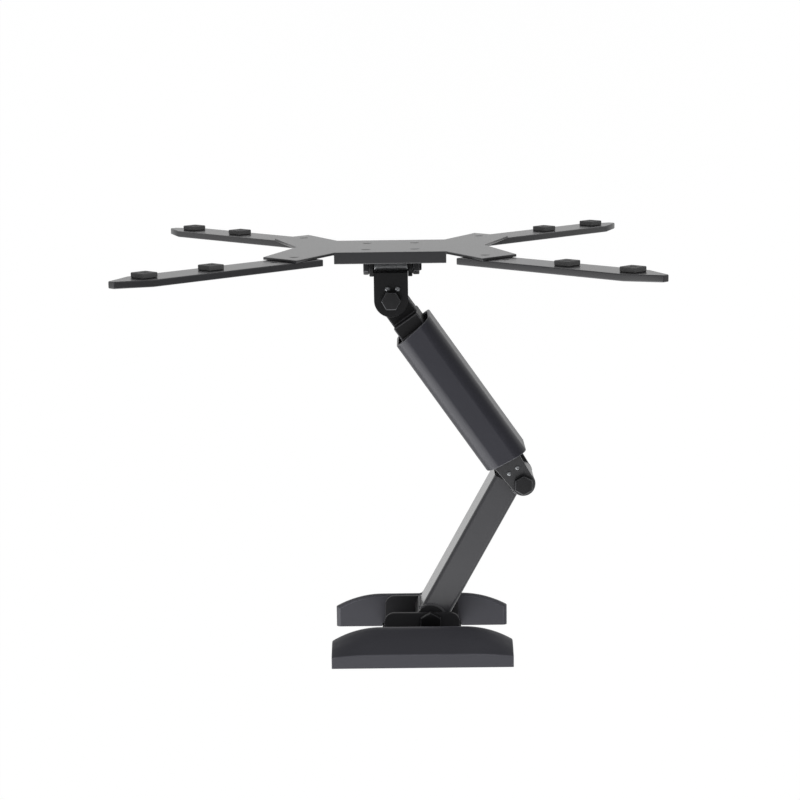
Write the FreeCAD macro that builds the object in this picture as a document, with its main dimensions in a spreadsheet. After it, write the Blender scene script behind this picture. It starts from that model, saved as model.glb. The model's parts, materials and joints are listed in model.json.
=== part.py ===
"""Full-motion wall mount for a television, as a parametric document.

Millimetres, +Z up, the wall is the plane Y = 0 and the room lies towards -Y.
The origin is the middle of the wall plate's back face.
Arm pieces are drawn along their own +X and turned into place about the hinge that carries them.
"""
import FreeCAD, Part
import math
import os
import Sketcher
from FreeCAD import Placement, Rotation, Vector

SIZES = {
    # wall plate and its two domed covers
    "mount_height": 160.0,
    "cover_width": 165.5,
    "cover_depth": 26.0,
    "cover_rim": 10.5,
    "cover_side": 20.0,
    "cover_crest": 33.0,
    "crest_width": 76.0,
    "rim_rise": 2.0,
    "dome_low": 0.52,
    "dome_high": 0.87,
    "cover_wall": 2.2,
    "cover_gap": 0.3,
    "wall_plate_thickness": 2.5,
    "waist_width": 76.0,
    "wall_bolt_spread": 110.0,
    "wall_bolt_hole": 8.5,
    # hinge bracket on the wall plate
    "bracket_width": 70.0,
    "bracket_clearance": 2.0,
    "bracket_thickness": 4.0,
    "ear_thickness": 4.0,
    "ear_reach": 37.5,
    "ear_corner": 9.0,
    "pivot_offset": 8.0,
    "pivot_reach": 28.5,
    # every upright hinge
    "barrel_height": 53.6,
    "hinge_play": 0.2,
    "running_gap": 0.05,
    "bolt_head_height": 6.5,
    "nut_height": 8.0,
    "thread_end": 2.0,
    # wall hinge and elbow
    "pivot_barrel_diameter": 28.0,
    "pivot_bolt_diameter": 12.0,
    "pivot_head_across": 19.0,
    "elbow_barrel_diameter": 22.0,
    "elbow_bolt_diameter": 10.0,
    "elbow_head_across": 16.0,
    # lower arm, a rectangular tube
    "lower_arm_angle": 29.0,
    "lower_arm_length": 155.5,
    "elbow_offset": 12.6,
    "tube_width": 27.0,
    "tube_height": 46.0,
    "tube_wall": 2.5,
    "tube_corner": 3.5,
    "tube_setback": 6.0,
    "plug_depth": 8.0,
    "plug_gap": 0.1,
    # upper arm, a rounded shell over a steel channel
    "upper_arm_angle": 35.0,
    "upper_arm_length": 208.0,
    "shell_width": 40.5,
    "shell_wall": 2.5,
    "shell_corner": 13.0,
    "shell_start": 26.0,
    "shell_setback": 34.0,
    "shell_slant": 5.0,
    "shell_headroom": 2.0,
    "shell_gap": 0.4,
    "channel_thickness": 3.0,
    "web_start": 34.0,
    "web_setback": 62.0,
    "link_grip": 60.0,
    "shoulder_setback": 22.0,
    "link_gap": 0.2,
    # head with the swivel and the tilt
    "tongue_width": 26.0,
    "tongue_height": 25.6,
    "head_width": 31.0,
    "head_lug": 8.0,
    "head_front": 25.5,
    "slot_depth": 15.0,
    "swivel_bolt_diameter": 10.0,
    "swivel_head_across": 16.0,
    "tilt_reach": 28.5,
    "tilt_barrel_diameter": 13.0,
    "tilt_bolt_diameter": 8.0,
    "tilt_head_across": 13.0,
    "tilt_head_height": 5.5,
    "tilt_nut_height": 6.5,
    "seat_gap": 0.05,
    # television plate
    "tilt_ear_thickness": 4.0,
    "tilt_ear_radius": 9.0,
    "tilt_base_width": 60.0,
    "tilt_base_height": 70.0,
    "tilt_base_thickness": 3.0,
    "tilt_base_reach": 42.1,
    "plate_thickness": 2.5,
    "plate_waist": 52.0,
    "waist_flat": 100.0,
    "arm_corner_near": 80.0,
    "arm_corner_far": 111.0,
    "plate_side": 86.0,
    "waist_flange": 8.0,
    # extension bars, from the middle of the plate along the diagonal
    "bar_start": 100.0,
    "bar_tip": 317.0,
    "bar_width": 36.0,
    "bar_taper": 30.0,
    "tip_width": 7.0,
    "bar_depth": 6.0,
    "bar_wall": 2.5,
    "tip_wall": 4.0,
    "screw_hole": 6.5,
    "pad_width": 16.0,
    "pad_height": 4.5,
    "inner_square": 300.0,
    "outer_square": 400.0,
    "plate_square": 200.0,
}

doc = FreeCAD.newDocument("tv_wall_mount")
sheet = doc.addObject("Spreadsheet::Sheet", "Sizes")
for row, (alias, number) in enumerate(SIZES.items(), start=1):
    sheet.set(f"A{row}", str(number))
    sheet.setAlias(f"A{row}", alias)
doc.recompute()


class Formula:
    """A size worked out from the sheet: its value now, and the text that binds it there."""

    def __init__(self, value, text):
        self.value = value
        self.text = text

    def __add__(self, other):
        other = formula(other)
        return Formula(self.value + other.value, f"({self.text} + {other.text})")

    def __sub__(self, other):
        other = formula(other)
        return Formula(self.value - other.value, f"({self.text} - {other.text})")

    def __mul__(self, other):
        other = formula(other)
        return Formula(self.value * other.value, f"({self.text} * {other.text})")

    def __truediv__(self, other):
        other = formula(other)
        return Formula(self.value / other.value, f"({self.text} / {other.text})")

    def __neg__(self):
        return Formula(-self.value, f"(0 - {self.text})")

    __radd__ = __add__
    __rmul__ = __mul__


def formula(number):
    """A plain number as a formula, or the formula itself."""
    if isinstance(number, Formula):
        return number
    return Formula(float(number), repr(float(number)))


def size(alias):
    """The driving size of that name."""
    return Formula(float(SIZES[alias]), f"Sizes.{alias}")


def sine(angle):
    return Formula(math.sin(math.radians(angle.value)), f"sin({angle.text} * 1 deg)")


def cosine(angle):
    return Formula(math.cos(math.radians(angle.value)), f"cos({angle.text} * 1 deg)")


def root(number):
    return Formula(math.sqrt(number.value), f"sqrt({number.text})")


def bind(obj, prop, number):
    """Tie a property to a formula."""
    obj.setExpression(prop, formula(number).text)


def place(obj, base=(0, 0, 0), angle=0):
    """Put an object at a point, turned about Z by an angle in degrees."""
    obj.Placement = Placement(Vector(), Rotation(Vector(0, 0, 1), 1))
    for axis, number in zip("xyz", base):
        bind(obj, f"Placement.Base.{axis}", number)
    bind(obj, "Placement.Rotation.Angle", angle)
    return obj


def name_node(obj, label):
    """Give a finished sub-part the label that names its file."""
    obj.Label = label
    nodes[label] = obj
    return obj


nodes = {}


# Sketches and features

def new_body(label):
    body = doc.addObject("PartDesign::Body", label + "_body")
    return name_node(body, label)


def new_sketch(body, role, offset=0):
    """A sketch on one of the body's own origin planes, moved along its normal."""
    plane = next(item for item in body.Origin.OriginFeatures if item.Role == role)
    sketch = body.newObject("Sketcher::SketchObject", body.Label + "_sketch")
    sketch.AttachmentSupport = (plane, [""])
    sketch.MapMode = "FlatFace"
    bind(sketch, "AttachmentOffset.Base.z", offset)
    return sketch


def fix_point(sketch, geometry, position, corner):
    """Tie a point of the sketch to two formulas."""
    for kind, number in zip(("DistanceX", "DistanceY"), corner):
        number = formula(number)
        index = sketch.addConstraint(
            Sketcher.Constraint(kind, -1, 1, geometry, position, number.value))
        sketch.setExpression(f"Constraints[{index}]", number.text)


def draw_outline(sketch, corners, arcs=None):
    """Closed outline through corners in anticlockwise order; arcs maps an edge to its radius."""
    arcs = arcs or {}
    first = sketch.GeometryCount
    points = [Vector(formula(x).value, formula(y).value, 0) for x, y in corners]
    count = len(points)
    for edge, start in enumerate(points):
        end = points[(edge + 1) % count]
        if edge in arcs:
            radius = formula(arcs[edge]).value
            chord = end - start
            out = Vector(chord.y, -chord.x, 0).normalize()
            rise = radius - math.sqrt(radius ** 2 - (chord.Length / 2) ** 2)
            sketch.addGeometry(Part.Arc(start, (start + end) / 2 + out * rise, end))
        else:
            sketch.addGeometry(Part.LineSegment(start, end))
    for edge, corner in enumerate(corners):
        following = first + (edge + 1) % count
        sketch.addConstraint(Sketcher.Constraint("Coincident", first + edge, 2, following, 1))
        fix_point(sketch, first + edge, 1, corner)
    for edge, radius in arcs.items():
        number = formula(radius)
        index = sketch.addConstraint(Sketcher.Constraint("Radius", first + edge, number.value))
        sketch.setExpression(f"Constraints[{index}]", number.text)


def draw_circle(sketch, centre, diameter):
    """A full circle tied to its middle and its diameter."""
    x, y = (formula(number) for number in centre)
    circle = Part.Circle(Vector(x.value, y.value, 0), Vector(0, 0, 1), formula(diameter).value / 2)
    geometry = sketch.addGeometry(circle)
    fix_point(sketch, geometry, 3, centre)
    index = sketch.addConstraint(
        Sketcher.Constraint("Diameter", geometry, formula(diameter).value))
    sketch.setExpression(f"Constraints[{index}]", formula(diameter).text)


def rectangle(x_low, x_high, y_low, y_high):
    return [(x_low, y_low), (x_high, y_low), (x_high, y_high), (x_low, y_high)]


def rounded_rectangle(x_low, x_high, y_low, y_high, radius):
    """Corners and arcs of a rectangle whose four corners are quarter circles."""
    corners = [
        (x_low + radius, y_low), (x_high - radius, y_low),
        (x_high, y_low + radius), (x_high, y_high - radius),
        (x_high - radius, y_high), (x_low + radius, y_high),
        (x_low, y_high - radius), (x_low, y_low + radius),
    ]
    return corners, {1: radius, 3: radius, 5: radius, 7: radius}


def pad(body, sketch, length, midplane=False, reverse=False):
    feature = body.newObject("PartDesign::Pad", body.Label + "_pad")
    feature.Profile = sketch
    bind(feature, "Length", length)
    feature.Midplane = midplane
    feature.Reversed = reverse
    doc.recompute()
    return feature


def pocket(body, sketch, length=None, midplane=False, reverse=False):
    """Cut a sketch out of the body: to a depth, or through all of it both ways."""
    before = body.Shape.Volume
    feature = body.newObject("PartDesign::Pocket", body.Label + "_pocket")
    feature.Profile = sketch
    if length is None:
        feature.Type = "ThroughAll"
        feature.Midplane = True
    else:
        bind(feature, "Length", length)
        feature.Midplane = midplane
        feature.Reversed = reverse
    doc.recompute()
    if body.Shape.Volume >= before:
        raise RuntimeError(f"a pocket in {body.Label} cut nothing")
    return feature


def loft(body, kind, sketches):
    feature = body.newObject(kind, body.Label + "_loft")
    feature.Profile = sketches[0]
    feature.Sections = sketches[1:]
    feature.Ruled = True
    doc.recompute()
    return feature


# Primitives for turned parts and fasteners

def cylinder(diameter, height, base=(0, 0, 0)):
    solid = doc.addObject("Part::Cylinder", "round")
    bind(solid, "Radius", formula(diameter) / 2)
    bind(solid, "Height", height)
    for axis, number in zip("xyz", base):
        bind(solid, f"Placement.Base.{axis}", number)
    return solid


def hexagon(across, height, base_z):
    """A hexagonal prism of that width across its flats."""
    solid = doc.addObject("Part::Prism", "hexagon")
    solid.Polygon = 6
    bind(solid, "Circumradius", formula(across) / math.sqrt(3))
    bind(solid, "Height", height)
    bind(solid, "Placement.Base.z", base_z)
    return solid


def cut(base, tool):
    result = doc.addObject("Part::Cut", "cut")
    result.Base = base
    result.Tool = tool
    return result


def fuse(*shapes):
    result = doc.addObject("Part::MultiFuse", "fuse")
    result.Shapes = list(shapes)
    return result


def ring(outer, inner, height, base_z):
    """A turned ring about Z."""
    return cut(cylinder(outer, height, (0, 0, base_z)), cylinder(inner, height, (0, 0, base_z)))


def bolt(label, diameter, across, head_height, nut_height, grip):
    """A hexagon bolt along Z with its nut done up, the grip centred on the origin."""
    half = formula(grip) / 2
    end = -half - nut_height - size("thread_end")
    shank = cylinder(diameter, half - end, (0, 0, end))
    head = hexagon(across, head_height, half)
    nut = hexagon(across, nut_height, -half - nut_height)
    return name_node(fuse(shank, head, nut), label)


# Where the hinges are at rest, seen from above: X and Y of each axis

lower_turn = -(90 + size("lower_arm_angle"))
upper_turn = size("upper_arm_angle") - 90
lower_sine = sine(size("lower_arm_angle"))
lower_cosine = cosine(size("lower_arm_angle"))

pivot = (-size("pivot_offset"), -size("pivot_reach"), formula(0))
elbow = (
    pivot[0] - size("lower_arm_length") * lower_sine - size("elbow_offset") * lower_cosine,
    pivot[1] - size("lower_arm_length") * lower_cosine + size("elbow_offset") * lower_sine,
    formula(0),
)
swivel = (
    elbow[0] + size("upper_arm_length") * sine(size("upper_arm_angle")),
    elbow[1] - size("upper_arm_length") * cosine(size("upper_arm_angle")),
    formula(0),
)

# Heights that the upright hinges share
ear_inner = size("barrel_height") / 2 + size("hinge_play")
running = 2 * size("running_gap")

# The channel is as wide as the shell's rounded corners leave room for at its flanges
shell_bend = size("shell_corner") - size("shell_wall")
bend_drop = shell_bend - size("shell_headroom")
bend_reach = root(shell_bend * shell_bend - bend_drop * bend_drop)
channel_half = size("shell_width") / 2 - size("shell_corner") + bend_reach - size("shell_gap")


# Wall plate, covers and hinge bracket

# Where along a cover's depth its roof reaches dome_low and dome_high
DOME_STEPS = (0.35, 0.7)


def build_wall_plate():
    """Pressed steel plate, wide under the covers and narrow between them."""
    body = new_body("wall_plate")
    wide = size("cover_width") / 2 - size("cover_wall") - size("cover_gap")
    narrow = size("waist_width") / 2
    end = size("mount_height") / 2 - size("cover_wall") - size("cover_gap")
    shoulder = size("mount_height") / 2 - size("cover_depth") + size("cover_wall") + size("cover_gap")
    bolt_rise = size("mount_height") - size("cover_depth")
    outline = [
        (-wide, -end), (wide, -end), (wide, -shoulder), (narrow, -shoulder),
        (narrow, shoulder), (wide, shoulder), (wide, end), (-wide, end),
        (-wide, shoulder), (-narrow, shoulder), (-narrow, -shoulder), (-wide, -shoulder),
    ]
    sketch = new_sketch(body, "XZ_Plane")
    draw_outline(sketch, outline)
    for side in (-1, 1):
        for level in (-1, 1):
            centre = (size("wall_bolt_spread") * (side / 2), bolt_rise * (level / 2))
            draw_circle(sketch, centre, size("wall_bolt_hole"))
    pad(body, sketch, size("wall_plate_thickness"))


def dome_heights(share):
    """Heights of a cover's side and crest where its roof has risen by that share."""
    rim = size("cover_rim")
    top = rim + size("rim_rise")
    return rim + (size("cover_side") - rim) * share, top + (size("cover_crest") - top) * share


def cover_section(sketch, share, inset=0):
    """Section of a cover, standing on the wall: arched outside, straight where it is set in."""
    half = size("cover_width") / 2 - inset
    flat = size("crest_width") / 2
    side, crest = dome_heights(share)
    run = half - flat
    rise = crest - side
    radius = (run * run + rise * rise) / (rise * 2)
    side = side - inset
    crest = crest - inset
    outline = [(-half, 0), (half, 0), (half, side), (flat, crest), (-flat, crest), (-half, side)]
    draw_outline(sketch, outline, {} if inset else {2: radius, 4: radius})


def build_cover(label, level):
    """Moulded cap over one end of the wall plate: a low rim and a roof domed up to its crest."""
    body = new_body(label)
    depth = size("cover_depth")
    outer = size("mount_height") / 2
    inner = outer - depth
    wall = size("cover_wall")
    skin = []
    for height, share in (
        (outer, formula(0)),
        (outer - depth * DOME_STEPS[0], size("dome_low")),
        (outer - depth * DOME_STEPS[1], size("dome_high")),
        (inner, formula(1)),
    ):
        sketch = new_sketch(body, "XY_Plane", height)
        cover_section(sketch, share)
        skin.append(sketch)
    loft(body, "PartDesign::AdditiveLoft", skin)
    hollow = []
    for height, share in ((outer - wall, formula(0)), (inner + wall, size("dome_high"))):
        sketch = new_sketch(body, "XY_Plane", height)
        cover_section(sketch, share, wall)
        hollow.append(sketch)
    loft(body, "PartDesign::SubtractiveLoft", hollow)
    doorway = new_sketch(body, "XY_Plane", inner)
    half = size("waist_width") / 2 + size("cover_gap")
    threshold = size("wall_plate_thickness") + size("cover_gap")
    draw_outline(doorway, rectangle(-half, half, formula(0), threshold))
    pocket(body, doorway, wall + size("cover_gap"), reverse=True)
    turn = Rotation(Vector(0, 0, 1), 180)
    if level < 0:
        turn = Rotation(Vector(1, 0, 0), 180)
    body.Placement = Placement(Vector(), turn)


def build_hinge_bracket():
    """Back plate with two ears that hold the wall hinge's bolt."""
    body = new_body("hinge_bracket")
    back = size("wall_plate_thickness")
    half = size("bracket_width") / 2
    reach = size("ear_reach")
    corner = size("ear_corner")
    height = size("mount_height") - 2 * (size("cover_depth") + size("bracket_clearance"))
    sketch = new_sketch(body, "XY_Plane")
    outline = [
        (-half, -back), (-half, -reach + corner), (-half + corner, -reach),
        (half - corner, -reach), (half, -reach + corner), (half, -back),
    ]
    draw_outline(sketch, outline, {1: corner, 3: corner})
    pad(body, sketch, height, midplane=True)
    front = -back - size("bracket_thickness")
    between = new_sketch(body, "XY_Plane")
    draw_outline(between, rectangle(-half * 2, half * 2, -reach * 2, front))
    pocket(body, between, ear_inner * 2, midplane=True)
    for level in (-1, 1):
        beyond = new_sketch(body, "XY_Plane", (ear_inner + size("ear_thickness")) * level)
        draw_outline(beyond, rectangle(-half * 2, half * 2, -reach * 2, front))
        pocket(body, beyond, height, reverse=level > 0)
    bore = new_sketch(body, "XY_Plane")
    draw_circle(bore, (pivot[0], pivot[1]), size("pivot_bolt_diameter") + running)
    pocket(body, bore)


def build_wall_hinge():
    """Bolt of the hinge between the bracket and the lower arm."""
    grip = (ear_inner + size("ear_thickness")) * 2
    place(bolt("pivot_bolt", size("pivot_bolt_diameter"), size("pivot_head_across"),
               size("bolt_head_height"), size("nut_height"), grip), pivot)


# Lower arm

def barrel(diameter, bore):
    """A turned hinge barrel about Z."""
    height = size("barrel_height")
    return ring(diameter, bore, height, -height / 2)


def build_lower_arm():
    """Rectangular tube between the wall barrel and the elbow barrel, with a plug in its open end."""
    half = size("tube_width") / 2
    wall = size("tube_wall")
    end = size("lower_arm_length") - size("tube_setback")
    elbow_point = (size("lower_arm_length"), -size("elbow_offset"))
    tall = size("tube_height")

    body = new_body("lower_arm_tube")
    section = new_sketch(body, "YZ_Plane")
    corners, arcs = rounded_rectangle(-half, half, -tall / 2, tall / 2, size("tube_corner"))
    draw_outline(section, corners, arcs)
    pad(body, section, end)
    inside = new_sketch(body, "YZ_Plane")
    corners, arcs = rounded_rectangle(-half + wall, half - wall, -tall / 2 + wall, tall / 2 - wall,
                                      size("tube_corner") - wall)
    draw_outline(inside, corners, arcs)
    pocket(body, inside)
    cope = new_sketch(body, "XY_Plane")
    draw_circle(cope, (0, 0), size("pivot_barrel_diameter"))
    draw_circle(cope, elbow_point, size("elbow_barrel_diameter"))
    pocket(body, cope)
    place(body, pivot, lower_turn)

    plug = new_body("tube_plug")
    inset = wall + size("plug_gap")
    section = new_sketch(plug, "YZ_Plane", end - size("plug_depth"))
    draw_outline(section, rectangle(-half + inset, half - inset, -tall / 2 + inset, tall / 2 - inset))
    pad(plug, section, size("plug_depth"))
    cope = new_sketch(plug, "XY_Plane")
    draw_circle(cope, elbow_point, size("elbow_barrel_diameter") + 2 * size("plug_gap"))
    pocket(plug, cope)
    place(plug, pivot, lower_turn)

    pivot_barrel = barrel(size("pivot_barrel_diameter"), size("pivot_bolt_diameter") + running)
    place(name_node(pivot_barrel, "pivot_barrel"), pivot)
    elbow_barrel = barrel(size("elbow_barrel_diameter"), size("elbow_bolt_diameter") + running)
    place(name_node(elbow_barrel, "elbow_barrel"), elbow)


# Upper arm

def build_upper_arm():
    """Rounded shell over a steel channel whose ends fork round the elbow and grip the head link."""
    outer_channel = ear_inner + size("channel_thickness")
    half = size("shell_width") / 2
    wall = size("shell_wall")
    tall = outer_channel + size("shell_headroom") + wall
    radius = size("shell_corner")

    shell = new_body("upper_arm_shell")
    section = new_sketch(shell, "YZ_Plane", size("shell_start") - size("shell_slant") / 2)
    corners, arcs = rounded_rectangle(-half, half, -tall, tall, radius)
    draw_outline(section, corners, arcs)
    start = size("shell_start")
    end = size("upper_arm_length") - size("shell_setback")
    pad(shell, section, end - start + size("shell_slant"))
    inside = new_sketch(shell, "YZ_Plane")
    corners, arcs = rounded_rectangle(-half + wall, half - wall, -tall + wall, tall - wall,
                                      radius - wall)
    draw_outline(inside, corners, arcs)
    pocket(shell, inside)
    slant = size("shell_slant") / 2
    ends = new_sketch(shell, "XY_Plane")
    draw_outline(ends, [(start - slant * 3, -half), (start - slant, -half), (start + slant, half),
                        (start - slant * 3, half)])
    draw_outline(ends, [(end + slant * 3, half), (end - slant, half), (end + slant, -half),
                        (end + slant * 3, -half)])
    pocket(shell, ends)
    place(shell, elbow, upper_turn)

    channel = new_body("upper_arm_channel")
    nose = size("elbow_barrel_diameter") / 2
    wide = channel_half
    plan = new_sketch(channel, "XY_Plane")
    outline = [
        (formula(0), -nose), (start, -wide), (end, -wide), (end, wide), (start, wide),
        (formula(0), nose), (-nose, formula(0)),
    ]
    draw_outline(plan, outline, {5: nose, 6: nose})
    pad(channel, plan, outer_channel * 2, midplane=True)
    hollow = new_sketch(channel, "XY_Plane")
    web = -wide + size("channel_thickness")
    web_end = size("upper_arm_length") - size("web_setback")
    beyond = end * 2
    draw_outline(hollow, [
        (-nose * 2, -wide * 2), (size("web_start"), -wide * 2), (size("web_start"), web),
        (web_end, web), (web_end, -wide * 2), (beyond, -wide * 2),
        (beyond, wide * 2), (-nose * 2, wide * 2),
    ])
    pocket(channel, hollow, ear_inner * 2, midplane=True)
    bore = new_sketch(channel, "XY_Plane")
    draw_circle(bore, (0, 0), size("elbow_bolt_diameter") + running)
    pocket(channel, bore)
    place(channel, elbow, upper_turn)

    place(bolt("elbow_bolt", size("elbow_bolt_diameter"), size("elbow_head_across"),
               size("bolt_head_height"), size("nut_height"), outer_channel * 2), elbow)


def build_head_link():
    """Block gripped by the channel that narrows to a round tongue for the swivel."""
    link = new_body("head_link")
    wide = channel_half
    nose = size("tongue_width") / 2
    centre = size("upper_arm_length")
    shoulder = centre - size("shoulder_setback")
    start = centre - size("link_grip")
    plan = new_sketch(link, "XY_Plane")
    draw_outline(plan, [
        (start, -wide), (shoulder, -wide), (centre, -nose), (centre + nose, formula(0)),
        (centre, nose), (shoulder, wide), (start, wide),
    ], {2: nose, 3: nose})
    block = ear_inner - size("link_gap")
    pad(link, plan, block * 2, midplane=True)
    steps = new_sketch(link, "XZ_Plane")
    tongue = size("tongue_height") / 2
    draw_outline(steps, rectangle(shoulder, centre + nose * 2, tongue, block * 2))
    draw_outline(steps, rectangle(shoulder, centre + nose * 2, -block * 2, -tongue))
    pocket(link, steps)
    bore = new_sketch(link, "XY_Plane")
    draw_circle(bore, (centre, 0), size("swivel_bolt_diameter") + running)
    pocket(link, bore)
    place(link, elbow, upper_turn)


# Head: swivel fork and tilt barrel, drawn with +X towards the room

def build_head():
    """Fork that turns on the head link's tongue and cradles the tilt barrel."""
    head = new_body("head_block")
    wide = size("head_width") / 2
    slot = size("tongue_height") / 2 + size("hinge_play")
    tall = slot + size("head_lug")
    front = size("head_front")
    plan = new_sketch(head, "XY_Plane")
    draw_outline(plan, [
        (formula(0), -wide), (front, -wide), (front, wide), (formula(0), wide), (-wide, formula(0)),
    ], {3: wide, 4: wide})
    pad(head, plan, tall * 2, midplane=True)
    fork = new_sketch(head, "XZ_Plane")
    draw_outline(fork, rectangle(-wide * 2, size("slot_depth"), -slot, slot))
    pocket(head, fork)
    cradle = new_sketch(head, "XZ_Plane")
    draw_circle(cradle, (size("tilt_reach"), 0), size("tilt_barrel_diameter") + 2 * size("seat_gap"))
    pocket(head, cradle)
    bore = new_sketch(head, "XY_Plane")
    draw_circle(bore, (0, 0), size("swivel_bolt_diameter") + running)
    pocket(head, bore)
    place(head, swivel, -90)

    place(bolt("swivel_bolt", size("swivel_bolt_diameter"), size("swivel_head_across"),
               size("bolt_head_height"), size("nut_height"), tall * 2), swivel)

    sleeve = new_body("tilt_barrel")
    section = new_sketch(sleeve, "XZ_Plane")
    draw_circle(section, (size("tilt_reach"), 0), size("tilt_barrel_diameter"))
    draw_circle(section, (size("tilt_reach"), 0), size("tilt_bolt_diameter") + running)
    pad(sleeve, section, size("head_width"), midplane=True)
    place(sleeve, swivel, -90)


def across_head(obj):
    """Lay a bolt along the tilt axis, head towards +X."""
    obj.Placement = Placement(Vector(), Rotation(Vector(0, 1, 0), 90))
    bind(obj, "Placement.Base.x", swivel[0])
    bind(obj, "Placement.Base.y", swivel[1] - size("tilt_reach"))


# Television plate

def build_tilt_bracket():
    """Base under the plate with two round ears beside the tilt barrel."""
    bracket = new_body("tilt_bracket")
    inner = size("head_width") / 2 + size("hinge_play")
    outer = inner + size("tilt_ear_thickness")
    radius = size("tilt_ear_radius")
    reach = size("tilt_reach")
    base = size("tilt_base_reach")
    top = base + size("tilt_base_thickness")
    ears = new_sketch(bracket, "XZ_Plane")
    draw_outline(ears, [
        (reach, -radius), (base, -radius), (base, -size("tilt_base_height") / 2),
        (top, -size("tilt_base_height") / 2), (top, size("tilt_base_height") / 2),
        (base, size("tilt_base_height") / 2), (base, radius), (reach, radius),
        (reach - radius, formula(0)),
    ], {7: radius, 8: radius})
    pad(bracket, ears, size("tilt_base_width"), midplane=True)
    gap = new_sketch(bracket, "XY_Plane")
    low = reach - radius * 2
    draw_outline(gap, rectangle(low, base, -inner, inner))
    half = size("tilt_base_width") / 2
    draw_outline(gap, rectangle(low, base, outer, half * 2))
    draw_outline(gap, rectangle(low, base, -half * 2, -outer))
    pocket(bracket, gap)
    bore = new_sketch(bracket, "XZ_Plane")
    draw_circle(bore, (reach, 0), size("tilt_bolt_diameter") + running)
    pocket(bracket, bore)
    place(bracket, swivel, -90)

    across_head(bolt("tilt_bolt", size("tilt_bolt_diameter"), size("tilt_head_across"),
                     size("tilt_head_height"), size("tilt_nut_height"), outer * 2))


plate_back = swivel[1] - size("tilt_base_reach") - size("tilt_base_thickness")


def build_centre_plate():
    """Waisted plate with a turned-back flange along its upper and lower waist."""
    body = new_body("centre_plate")
    flat = size("waist_flat") / 2
    waist = size("plate_waist")
    near = size("arm_corner_near")
    far = size("arm_corner_far")
    side = size("plate_side")
    outline = [
        (-near, -far), (-flat, -waist), (flat, -waist), (near, -far), (far, -near),
        (side, formula(0)), (far, near), (near, far), (flat, waist), (-flat, waist),
        (-near, far), (-far, near), (-side, formula(0)), (-far, -near),
    ]
    sketch = new_sketch(body, "XZ_Plane")
    draw_outline(sketch, outline)
    pad(body, sketch, size("plate_thickness"))
    for level in (-1, 1):
        edge = waist - size("plate_thickness")
        lip = new_sketch(body, "XZ_Plane")
        low, high = (edge, waist) if level > 0 else (-waist, -edge)
        draw_outline(lip, rectangle(-flat, flat, low, high))
        pad(body, lip, size("waist_flange"), reverse=True)
    place(body, (swivel[0], plate_back, formula(0)))


def build_bar(label, across, level):
    """Channel bar behind one arm of the plate, drawn along +X with its face at Z = 0."""
    bar = new_body(label)
    half = size("bar_width") / 2
    tip = size("bar_tip")
    start = size("bar_start")
    nib = size("tip_width") / 2
    taper = tip - size("bar_taper")
    plan = new_sketch(bar, "XY_Plane")
    draw_outline(plan, [
        (start, -half), (taper, -half), (tip, -nib), (tip, nib), (taper, half), (start, half),
    ])
    pad(bar, plan, size("bar_depth"), reverse=True)
    wall = size("bar_wall")
    inside = new_sketch(bar, "XY_Plane", -wall)
    end = tip - size("tip_wall")
    draw_outline(inside, [
        (start - wall, -half + wall), (taper - wall, -half + wall), (end, -nib + wall),
        (end, nib - wall), (taper - wall, half - wall), (start - wall, half - wall),
    ])
    pocket(bar, inside, size("bar_depth"))
    holes = new_sketch(bar, "XY_Plane")
    for square in ("inner_square", "outer_square", "plate_square"):
        draw_circle(holes, (size(square) / math.sqrt(2), 0), size("screw_hole"))
    pocket(bar, holes)
    along = Vector(across, 0, level).normalize()
    face = Vector(0, -1, 0)
    frame = Rotation(along, face.cross(along), face)

    rings = new_body(label.replace("_bar", "_pads"))
    section = new_sketch(rings, "XY_Plane")
    edge = size("pad_width") / 2
    for square in ("inner_square", "outer_square"):
        middle = size(square) / math.sqrt(2)
        draw_outline(section, rectangle(middle - edge, middle + edge, -edge, edge))
        draw_circle(section, (middle, 0), size("screw_hole"))
    pad(rings, section, size("pad_height"))
    for body in (bar, rings):
        body.Placement = Placement(Vector(), frame)
        bind(body, "Placement.Base.x", swivel[0])
        bind(body, "Placement.Base.y", plate_back)


build_wall_plate()
build_cover("upper_cover", 1)
build_cover("lower_cover", -1)
build_hinge_bracket()
build_wall_hinge()
build_lower_arm()
build_upper_arm()
build_head_link()
build_head()
build_tilt_bracket()
build_centre_plate()
for level_name, level_sign in (("upper", 1), ("lower", -1)):
    for side_name, side_sign in (("left", -1), ("right", 1)):
        build_bar(f"{level_name}_{side_name}_bar", side_sign, level_sign)
doc.recompute()

# Nothing is written unless every object is sound
for item in doc.Objects:
    if "Invalid" in item.State or "Error" in item.State:
        raise RuntimeError(f"{item.Label} failed: {item.State}")
for label, node in nodes.items():
    if node.Shape.isNull() or not node.Shape.isValid():
        raise RuntimeError(f"{label} has no sound shape")

os.makedirs("parts", exist_ok=True)
for label, node in nodes.items():
    node.Shape.exportStep(f"parts/{label}.step")
    print(label, len(node.Shape.Solids), round(node.Shape.Volume / 1000, 2), "cm3")
for name, axis in (("pivot", pivot), ("elbow", elbow), ("swivel", swivel)):
    print(name, [round(number.value, 3) for number in axis])
print("plate back", round(plate_back.value, 3))
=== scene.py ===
"""Full-motion television wall mount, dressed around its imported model.

Metres, +Z up, the wall is the plane Y = 0 and the room lies towards -Y.
Each sub-assembly is a class; its sizes are in millimetres, as they are on the real part.
"""
import json
import logging
import math
from collections.abc import Callable, Iterable, Sequence
from dataclasses import dataclass, replace
from enum import Enum

import bmesh
import bpy
from mathutils import Matrix, Vector


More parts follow.
